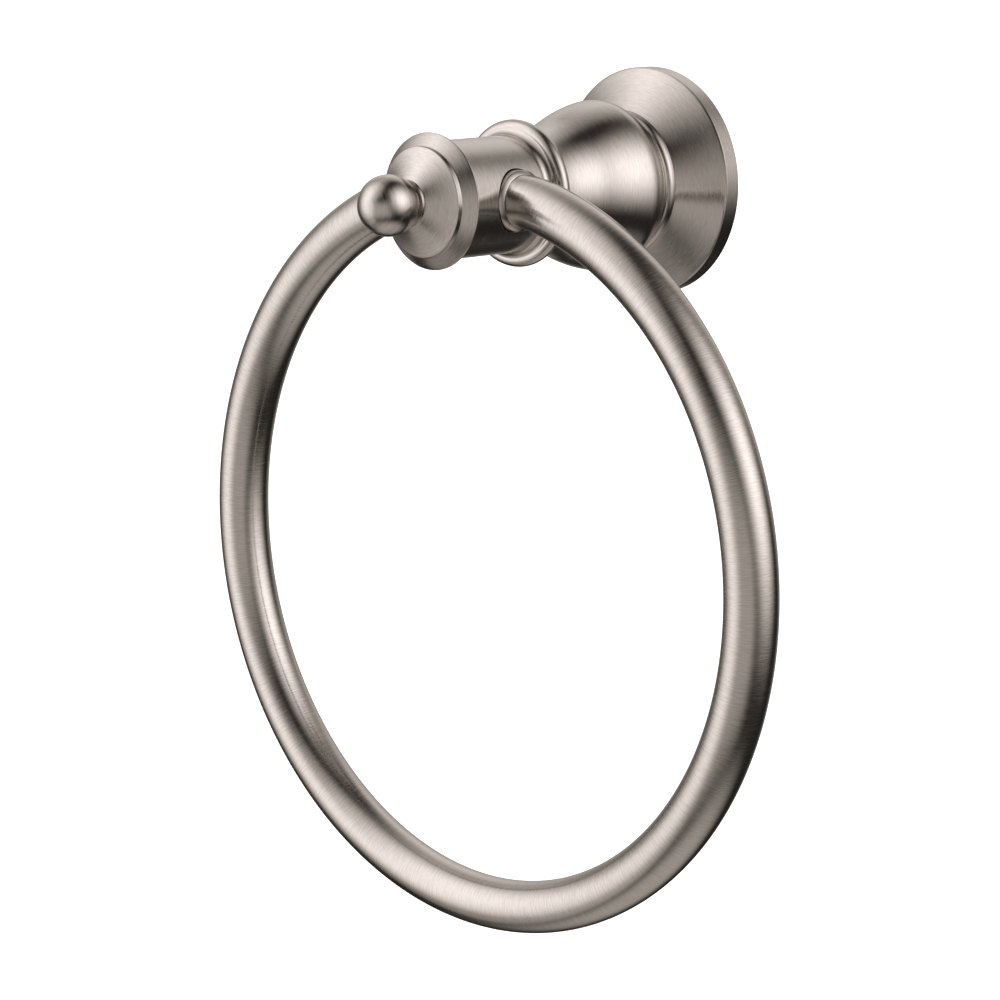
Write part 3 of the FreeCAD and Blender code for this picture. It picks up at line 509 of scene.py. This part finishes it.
def bored_arm(name, material):
    """The arm: its turned skin with a window left open at each side, and one long sleeve of rings
    that runs from the right window down its pocket, through the web and up to the left window."""
    points, normals, length = soften(arm_section, False, BROKEN_EDGE)
    grids = turned_grid(points, normals, length)
    rows = len(points)
    quads, uv = turned_faces(rows, length, False)
    quarter = AROUND // 4
    on_barrel = np.abs(points[:, 1] - ARM_RADIUS) < HAIR
    past_back = points[:, 0] > PIVOT_OUT - POCKET - WINDOW_ROOM
    past_front = points[:, 0] > PIVOT_OUT + POCKET + WINDOW_ROOM
    low = np.flatnonzero(on_barrel & past_back)[0] - 1
    high = np.flatnonzero(on_barrel & past_front)[0]
    left_edge, right_edge = quarter // 2, quarter // 2 + quarter
    open_faces = np.zeros(quads.shape[:2], bool)
    open_faces[low:high, left_edge:right_edge] = True
    open_faces[low:high, AROUND - right_edge:AROUND - left_edge] = True
    quads, uv = quads[~open_faces], uv[~open_faces]
    across = np.arange(left_edge, right_edge)
    along_rows = np.arange(low, high)
    edge_row = np.concatenate([
        np.full(quarter, low), along_rows, np.full(quarter, high), along_rows[::-1] + 1,
    ])
    edge_column = np.concatenate([
        across, np.full(high - low, right_edge), across[::-1] + 1, np.full(high - low, left_edge),
    ])
    edge_angle = 2 * math.pi * edge_column / AROUND
    right_places, right_facing, right_grain, on_skin = pocket_rings(points[edge_row, 0], edge_angle)
    flip = np.array([-1.0, 1.0, 1.0])
    places = np.concatenate([right_places, right_places[::-1] * flip])
    facing = np.concatenate([right_facing, right_facing[::-1] * flip])
    grain = np.concatenate([right_grain, right_grain[::-1]])
    rings, count = places.shape[:2]
    first = rows * AROUND
    number = first + np.arange(rings * count).reshape(rings, count)
    right_line = edge_row * AROUND + edge_column
    left_line = edge_row * AROUND + (AROUND - edge_column) % AROUND
    number = np.vstack([right_line, number, left_line])
    here = np.arange(count)
    after = (here + 1) % count
    sleeve_quads = np.stack([
        number[:-1][:, here], number[1:][:, here], number[1:][:, after], number[:-1][:, after],
    ], axis=2)
    sleeve_uv = np.zeros(sleeve_quads.shape + (2,))
    depth = np.arange(rings + 2) / (rings + 1)
    sleeve_uv[..., 0, 0] = sleeve_uv[..., 3, 0] = depth[:-1, None]
    sleeve_uv[..., 1, 0] = sleeve_uv[..., 2, 0] = depth[1:, None]
    sleeve_uv[..., 0, 1] = sleeve_uv[..., 1, 1] = here / count
    sleeve_uv[..., 2, 1] = sleeve_uv[..., 3, 1] = (here + 1) / count
    parts = [
        np.concatenate([skin.reshape(-1, 3), inside.reshape(-1, 3)])
        for skin, inside in zip(grids, (places, facing, grain))
    ]
    spots = parts[0][sleeve_quads]
    spot_turns = np.arctan2(spots[..., 0], spots[..., 2]) / 2 / math.pi
    on_map = np.stack([-spots[..., 1] / ARM_FRONT, spot_turns], axis=-1)
    sleeve_uv[:on_skin] = on_map[:on_skin]
    sleeve_uv[-on_skin:] = on_map[-on_skin:]
    quads = np.concatenate([quads, sleeve_quads.reshape(-1, 4)])
    uv = np.concatenate([uv, sleeve_uv.reshape(-1, 4, 2)])
    ring_at = np.arange(AROUND)
    quads, uv, parts = poles_closed(quads, uv, parts, ring_at, ring_at + (rows - 1) * AROUND)
    return mesh_piece(name, quads, *parts, uv, material)


arm = bored_arm("arm_barrel", satin_nickel)
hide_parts("arm")
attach(arm, "post")

# The front cap: a thin rim with a fine chamfer, a sloping ledge, a small step and a hollow cone up
# to a flat nose. It is turned from brass, brushed in the lathe, nickel plated and clamped on the
# end of the arm by the stud of the finial.
CAP_BACK = -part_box("cap")[1].y
CAP_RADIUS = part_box("cap")[1].x
CAP_RIM = 0.00045
CAP_CHAMFER = 0.0002
STEP_FOOT = (0.0745, 0.01225)
STEP_TOP = (0.0756, 0.01225)
CAP_NOSE = (-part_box("cap")[0].y, 0.0051)
CAP_HOLLOW = 0.045
CAP_BORE = 0.0026
cap_section = np.vstack([
    [(CAP_BACK, CAP_BORE), (CAP_BACK, CAP_RADIUS), (CAP_BACK + CAP_RIM - CAP_CHAMFER, CAP_RADIUS)],
    [(CAP_BACK + CAP_RIM, CAP_RADIUS - CAP_CHAMFER), STEP_FOOT],
    arc(STEP_TOP, CAP_NOSE, -CAP_HOLLOW),
    [CAP_NOSE, (CAP_NOSE[0], CAP_BORE)],
])
cap = turned("front_cap", cap_section, True, satin_nickel, CRISP_EDGE)
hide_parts("cap")
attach(cap, "post")

# The finial: a ball on a small disc, turned with its stud from one piece of brass bar and nickel
# plated. The stud screws into the arm and holds the cap.
BALL_RADIUS = 0.00685
BALL_TIP = -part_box("finial")[0].y
BALL_FOOT = 0.00428
DISC = (0.0798, 0.00533)
STUD_END = -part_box("finial")[1].y
STUD_RADIUS = 0.0024
finial_section = np.vstack([
    [(STUD_END, 0.0), (STUD_END, STUD_RADIUS)],
    [(CAP_NOSE[0], STUD_RADIUS), (CAP_NOSE[0], DISC[1]), DISC],
    arc((DISC[0], BALL_FOOT), (BALL_TIP - BALL_RADIUS, BALL_RADIUS), BALL_RADIUS),
    arc((BALL_TIP - BALL_RADIUS, BALL_RADIUS), (BALL_TIP, 0.0), BALL_RADIUS),
    [(BALL_TIP, 0.0)],
])
finial = turned("ball_finial", finial_section, False, satin_nickel)
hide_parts("finial")
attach(finial, "post")

# The ring: an open round of 12 mm brass tube, bent so that its two straight ends meet the arm from
# both sides. It is brushed round the tube and nickel plated, and hangs free on the pivot pin.
RING_PLANE = (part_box("ring")[0].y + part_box("ring")[1].y) / 2
TUBE = (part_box("ring")[1].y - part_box("ring")[0].y) / 2
TUBE_WALL = 0.0012
RING_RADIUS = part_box("ring")[1].x - TUBE
RING_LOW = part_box("ring")[0].z + TUBE
BEND = 0.030
TUBE_END = 0.0063
STRAIGHT_END = 0.01225
STATIONS = 560  # circles along the outside of the tube
BORE_STATIONS = 140
TUBE_AROUND = 72  # points round the tube
RING_ROUGHNESS = 0.18
RING_MARKS = 0.11


def ring_line(count):
    """Centreline of the ring from its right end to its left end, and the way out from its middle.

    A straight end, a bend that turns down, the large round, a bend that turns back and the other
    straight end. Places along it are equally spaced. Returns (x, z), unit normals and length.
    """
    centre = RING_LOW + RING_RADIUS
    lean = math.asin(STRAIGHT_END / (RING_RADIUS - BEND))
    straight = STRAIGHT_END - TUBE_END
    bend = BEND * lean
    large = RING_RADIUS * 2 * (math.pi - lean)
    length = np.linspace(0, 2 * straight + 2 * bend + large, count)
    half = length[-1] / 2
    mirrored = np.minimum(length, length[-1] - length)
    on_bend = np.clip(mirrored - straight, 0, bend) / BEND
    on_large = np.clip(mirrored - straight - bend, 0, large / 2) / RING_RADIUS
    turned_by = on_bend + on_large
    x = TUBE_END + np.minimum(mirrored, straight) + BEND * np.sin(on_bend)
    z = -BEND * (1 - np.cos(on_bend))
    round_x = RING_RADIUS * np.sin(lean + on_large)
    round_z = centre + RING_RADIUS * np.cos(lean + on_large)
    x = np.where(mirrored > straight + bend, round_x, x)
    z = np.where(mirrored > straight + bend, round_z, z)
    side = np.where(length > half, -1.0, 1.0)
    normal = np.stack([side * np.sin(turned_by), np.cos(turned_by)], axis=1)
    return np.stack([side * x, z], axis=1), normal, length


def ring_tube(name, material):
    """The tube: circles of the outer radius carried along the line and circles of the bore carried
    back, joined at both ends by the cut faces of the tube. At angle a a point stands the radius
    times cos a out from the line in the ring's plane, and the radius times sin a off that plane."""
    around = TUBE_AROUND
    angle = 2 * math.pi * np.arange(around) / around
    cosine, sine = np.cos(angle)[None], np.sin(angle)[None]
    walls = []
    for count, radius, sign in ((STATIONS, TUBE, 1), (BORE_STATIONS, TUBE - TUBE_WALL, -1)):
        line, normal, length = ring_line(count)
        each = np.ones((count, 1))
        facing = np.stack([normal[:, :1] * cosine, sine * each, normal[:, 1:] * cosine], axis=2)
        middle = np.stack([line[:, 0], np.full(count, RING_PLANE), line[:, 1]], axis=1)[:, None]
        places = middle + radius * facing
        grain = np.stack([
            np.broadcast_to(length[:, None], (count, around)),
            radius * cosine * each,
            radius * sine * each,
        ], axis=2)
        walls.append((places[::sign], sign * facing[::sign], grain[::sign]))
    places, facing, grain = (np.concatenate(pair) for pair in zip(*walls))
    rows = len(places)
    number = np.arange(rows * around).reshape(rows, around)
    column = np.arange(around)
    after = (column + 1) % around
    below = np.arange(rows)
    over = (below + 1) % rows
    quads = np.stack([
        number[below][:, column], number[over][:, column],
        number[over][:, after], number[below][:, after],
    ], axis=2).reshape(-1, 4)
    walked = grain[:, 0, 0]
    share = np.arange(around + 1) / around
    uv = np.zeros((rows, around, 4, 2))
    uv[..., 0, 0] = uv[..., 3, 0] = walked[below][:, None]
    uv[..., 1, 0] = uv[..., 2, 0] = walked[over][:, None]
    uv[..., 0, 1] = uv[..., 1, 1] = share[None, :-1]
    uv[..., 2, 1] = uv[..., 3, 1] = share[None, 1:]
    uv[..., 0] /= walked.max()
    flat = (part.reshape(-1, 3) for part in (places, facing, grain))
    return mesh_piece(name, quads, *flat, uv.reshape(-1, 4, 2), material)


ring_nickel = brushed_nickel("ring_nickel", RING_ROUGHNESS, RING_MARKS)
ring = ring_tube("ring_tube", ring_nickel)
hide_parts("ring")
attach(ring, "hanging_ring")

# The collars: a small sleeve of plated brass pressed on each end of the tube, with a shoulder that
# falls in a soft round to the tube. It turns with the ring and all but fills the mouth of the
# arm's pocket, so that only a fine dark line shows round it.
COLLAR_RADIUS = 0.00688
COLLAR_BORE = 0.0058
COLLAR_BACK = 0.0110
COLLAR_SHOULDER = 0.01308
COLLAR_FRONT = 0.01385
COLLAR_ROUND = 0.0045
COLLAR_LIP = 0.00005


def collar(name, side, material):
    """A collar: its section (distance from the middle, radius) carried round the pivot axis, at
    angle a at (side times distance, radius sin a, radius cos a). On the left that mirrors it, so
    its faces are turned round."""
    section = np.vstack([
        [(COLLAR_BACK, COLLAR_BORE), (COLLAR_BACK, COLLAR_RADIUS)],
        arc((COLLAR_SHOULDER, COLLAR_RADIUS), (COLLAR_FRONT, TUBE), COLLAR_ROUND),
        [(COLLAR_FRONT, TUBE), (COLLAR_FRONT + COLLAR_LIP, COLLAR_BORE)],
    ])
    points, normals, length = soften(section, True, BROKEN_EDGE)
    onto = np.array([[0.0, 1.0, 0.0], [-side, 0.0, 0.0], [0.0, 0.0, 1.0]])
    grids = [grid.reshape(-1, 3) for grid in turned_grid(points, normals, length)]
    places, facing = grids[0] @ onto + (0.0, RING_PLANE, 0.0), grids[1] @ onto
    quads, uv = turned_faces(len(points), length, True)
    quads, uv = quads.reshape(-1, 4), uv.reshape(-1, 4, 2)
    if side < 0:
        quads, uv = quads[:, ::-1], uv[:, ::-1]
    return mesh_piece(name, quads, places, facing, grids[2], uv, material)


for name, side in (("collar_right", 1.0), ("collar_left", -1.0)):
    piece = collar(name, side, satin_nickel)
    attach(piece, "hanging_ring")

# The studio: a pale floor far below, which the metal does not mirror, and a dome of soft panels of
# light that it does. The camera sees the dome plain white.
FLOOR_HEIGHT = -0.60
FLOOR_HALF = 12.0
FLOOR_PAINT = (0.9, 0.9, 0.9, 1.0)
FLOOR_ROUGHNESS = 0.9
WHITE = (1.0, 1.0, 1.0, 1.0)
PANELS = (
    # azimuth from straight in front, towards the right, and elevation; half width, half height
    # and softness of the edge, all in degrees; strength
    (-46.0, 16.0, 28.0, 47.0, 28.0, 1.13),  # tall main light, in front on the left
    (106.0, 23.0, 30.0, 30.0, 28.0, 1.66),  # strong side light on the right
    (-151.0, 13.0, 25.0, 35.0, 12.0, 0.27),  # dim light behind, on the left
    (-120.0, 12.0, 14.0, 23.0, 24.0, 0.44),  # dim light on the left, a little behind
    (9.0, -12.5, 47.0, 27.0, 20.0, 0.45),  # wide low light in front
    (-75.0, 72.0, 59.0, 14.0, 7.5, 0.16),  # strip overhead
    (-115.0, 43.5, 75.0, 24.5, 14.5, 0.32),  # wide light high on the left
    (-47.0, -47.0, 21.0, 6.0, 6.0, 0.21),  # faint strip low on the left
)
DUSK = 0.022  # light between the panels
FLOOR_GLOW = 0.46  # light thrown back from straight below
FLOOR_GLOW_START = 44  # degrees below level at which it sets in
DUSK_TONE = (1.057, 0.99, 0.91, 1.0)
LAMP_TONE = (1.034, 1.0, 1.01, 1.0)
TONE_RATE = 0.8  # share of the way from one tone to the other for each unit of light

world = bpy.data.worlds.new("studio")
bpy.context.scene.world = world
world.use_nodes = True
tree = world.node_tree
background = tree.nodes["Background"]
direction = tree.nodes.new("ShaderNodeTexCoord").outputs["Generated"]


def joined(operation, first, second=None, third=None):
    """One step of arithmetic in the dome, on numbers or on what other steps give."""
    step = tree.nodes.new("ShaderNodeMath")
    step.operation = operation
    for socket, value in zip(step.inputs, (first, second, third)):
        if isinstance(value, (int, float)):
            socket.default_value = value
        elif value is not None:
            tree.links.new(value, socket)
    return step.outputs[0]


def along(vector):
    """Share of the looking direction along a fixed one: their products added up."""
    step = tree.nodes.new("ShaderNodeVectorMath")
    step.operation = "DOT_PRODUCT"
    tree.links.new(direction, step.inputs[0])
    step.inputs[1].default_value = vector
    return step.outputs["Value"]


def window(angle, half, softness):
    """1 inside a half width, falling smoothly to 0 over the softness on both sides of its edge."""
    step = tree.nodes.new("ShaderNodeMapRange")
    step.interpolation_type = "SMOOTHSTEP"
    tree.links.new(joined("ABSOLUTE", angle), step.inputs["Value"])
    step.inputs["From Min"].default_value = math.radians(half - softness)
    step.inputs["From Max"].default_value = math.radians(half + softness)
    step.inputs["To Min"].default_value = 1.0
    step.inputs["To Max"].default_value = 0.0
    return step.outputs["Result"]


glow = DUSK
for azimuth, elevation, half_width, half_height, softness, strength in PANELS:
    turn, rise = math.radians(azimuth), math.radians(elevation)
    middle = (math.sin(turn) * math.cos(rise), -math.cos(turn) * math.cos(rise), math.sin(rise))
    sideways = (math.cos(turn), math.sin(turn), 0.0)
    upwards = (-math.sin(turn) * math.sin(rise), math.cos(turn) * math.sin(rise), math.cos(rise))
    wide = joined("ARCTAN2", along(sideways), along(middle))
    tall = joined("ARCSINE", along(upwards))
    panel = joined("MULTIPLY", window(wide, half_width, softness), window(tall, half_height, softness))
    glow = joined("MULTIPLY_ADD", panel, strength, glow)
bounce = tree.nodes.new("ShaderNodeMapRange")
bounce.interpolation_type = "SMOOTHSTEP"
tree.links.new(along((0.0, 0.0, -1.0)), bounce.inputs["Value"])
bounce.inputs["From Min"].default_value = math.sin(math.radians(FLOOR_GLOW_START))
bounce.inputs["From Max"].default_value = 1.0
bounce.inputs["To Min"].default_value = 0.0
bounce.inputs["To Max"].default_value = FLOOR_GLOW
glow = joined("ADD", glow, bounce.outputs["Result"])
seen = tree.nodes.new("ShaderNodeLightPath").outputs["Is Camera Ray"]
brightness = tree.nodes.new("ShaderNodeMix")
brightness.data_type = "FLOAT"
tree.links.new(seen, brightness.inputs["Factor"])
tree.links.new(glow, brightness.inputs["A"])
brightness.inputs["B"].default_value = 1.0
tone = tree.nodes.new("ShaderNodeMix")
tone.data_type = "RGBA"
tone.inputs["A"].default_value = DUSK_TONE
tone.inputs["B"].default_value = LAMP_TONE
tree.links.new(joined("MULTIPLY", glow, TONE_RATE), tone.inputs["Factor"])
shown = tree.nodes.new("ShaderNodeMix")
shown.data_type = "RGBA"
tree.links.new(seen, shown.inputs["Factor"])
tree.links.new(tone.outputs["Result"], shown.inputs["A"])
shown.inputs["B"].default_value = WHITE
tree.links.new(shown.outputs["Result"], background.inputs["Color"])
tree.links.new(brightness.outputs["Result"], background.inputs["Strength"])

floor_corners = [
    (-FLOOR_HALF, -FLOOR_HALF, FLOOR_HEIGHT),
    (FLOOR_HALF, -FLOOR_HALF, FLOOR_HEIGHT),
    (FLOOR_HALF, FLOOR_HALF, FLOOR_HEIGHT),
    (-FLOOR_HALF, FLOOR_HALF, FLOOR_HEIGHT),
]
floor_mesh = bpy.data.meshes.new("floor")
floor_mesh.from_pydata(floor_corners, [], [(0, 1, 2, 3)])
pale = bpy.data.materials.new("pale_floor")
pale.use_nodes = True
pale_shader = pale.node_tree.nodes["Principled BSDF"]
pale_shader.inputs["Base Color"].default_value = FLOOR_PAINT
pale_shader.inputs["Roughness"].default_value = FLOOR_ROUGHNESS
pale_shader.inputs["Emission Color"].default_value = WHITE
pale_shader.inputs["Emission Strength"].default_value = 1.0
floor_mesh.materials.append(pale)
floor = bpy.data.objects.new("floor", floor_mesh)
bpy.context.scene.collection.objects.link(floor)
floor.visible_glossy = False
floor.visible_diffuse = False

# The camera stands to the right of the post and a little above it, as far off as a product lens
# asks. Its place, tilt and lens give the outlines of the object in the photograph.
AZIMUTH = math.radians(45.349)
ELEVATION = math.radians(10.774)
ROLL = math.radians(0.15)
DISTANCE = 0.7889
AIM = np.array([0.006672, -0.0572, -0.06822])
LENS = 125.54
SENSOR = 36.0
NEAREST = 0.05
FARTHEST = 100.0
back = np.array([
    math.sin(AZIMUTH) * math.cos(ELEVATION),
    -math.cos(AZIMUTH) * math.cos(ELEVATION),
    math.sin(ELEVATION),
])
level = np.array([math.cos(AZIMUTH), math.sin(AZIMUTH), 0.0])
upright = np.cross(back, level)
right = math.cos(ROLL) * level + math.sin(ROLL) * upright
place = np.eye(4)
place[:3, 0] = right
place[:3, 1] = np.cross(back, right)
place[:3, 2] = back
place[:3, 3] = AIM + back * DISTANCE
camera_data = bpy.data.cameras.new("camera")
camera_data.lens = LENS
camera_data.sensor_width = SENSOR
camera_data.clip_start = NEAREST
camera_data.clip_end = FARTHEST
camera = bpy.data.objects.new("camera", camera_data)
bpy.context.scene.collection.objects.link(camera)
camera.matrix_world = Matrix(place.tolist())
bpy.context.scene.camera = camera
bpy.context.scene.view_settings.view_transform = "Standard"
